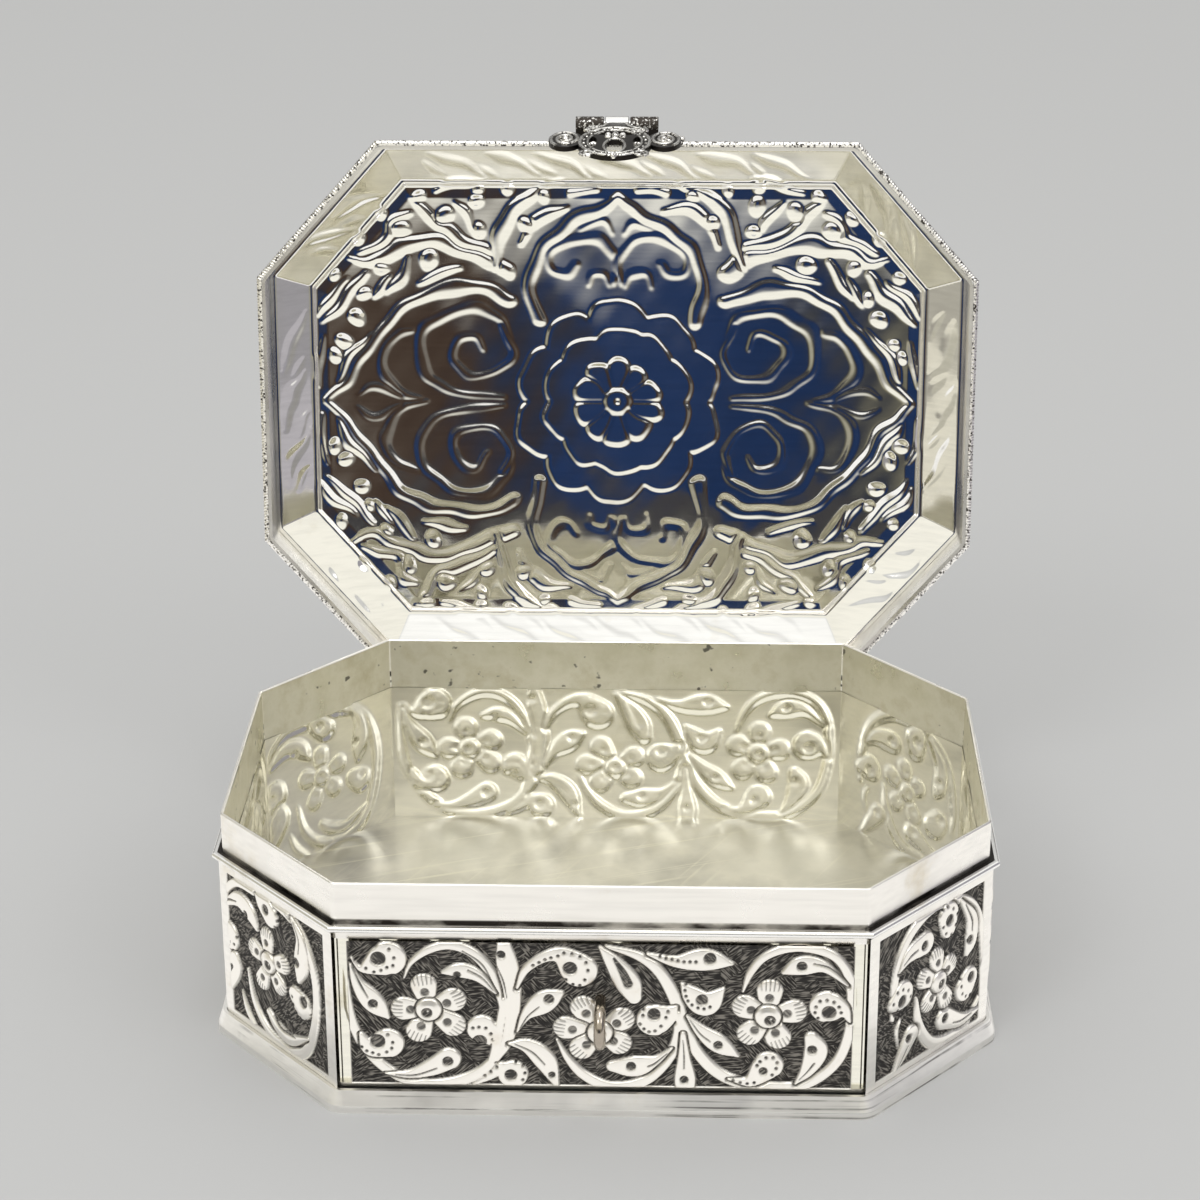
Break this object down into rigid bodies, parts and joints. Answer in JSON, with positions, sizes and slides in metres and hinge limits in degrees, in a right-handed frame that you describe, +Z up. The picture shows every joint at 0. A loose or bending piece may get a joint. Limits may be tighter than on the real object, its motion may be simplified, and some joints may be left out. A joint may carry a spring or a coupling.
{
  "type": "jewellery box",
  "caption": "Eight-sided chased nickel silver jewellery box with a hinged lid, plain collar, openwork hasp and wire staple.",
  "frame": {"origin": "middle of the foot, on the surface the box stands on", "axes": "+X along the box to the right as seen from the front, +Y to the back, +Z up"},
  "size_m": [0.1554, 0.15, 0.1604],
  "materials": {
    "nickel_silver": "polished, blackened in the ground of the chasing"
  },
  "bodies": {
    "box": {"floor_plate": "nickel_silver", "foot_band": "nickel_silver", "side_wall": "nickel_silver", "wall_rim_bead": "nickel_silver", "collar": "nickel_silver", "staple": "nickel_silver", "hinge_body_leaf": "nickel_silver", "hinge_pin": "nickel_silver"},
    "lid": {"lid_top": "nickel_silver", "lid_skirt": "nickel_silver", "lid_edge_wire": "nickel_silver", "hinge_lid_leaf": "nickel_silver", "hasp_bracket": "nickel_silver", "hasp_pin": "nickel_silver"},
    "hasp": {"hasp_leaf": "nickel_silver"}
  },
  "joints": [
    {"name": "lid_hinge", "type": "hinge", "parent": "box", "child": "lid", "pos_m": [0, 0.05835, 0.04013], "axis": [1, 0, 0], "range_deg": [0, 97]},
    {"name": "hasp_hinge", "type": "hinge", "parent": "lid", "child": "hasp", "pos_m": [0, 0.07686, 0.15911], "axis": [-1, 0, 0], "range_deg": [0, 214]}
  ]
}
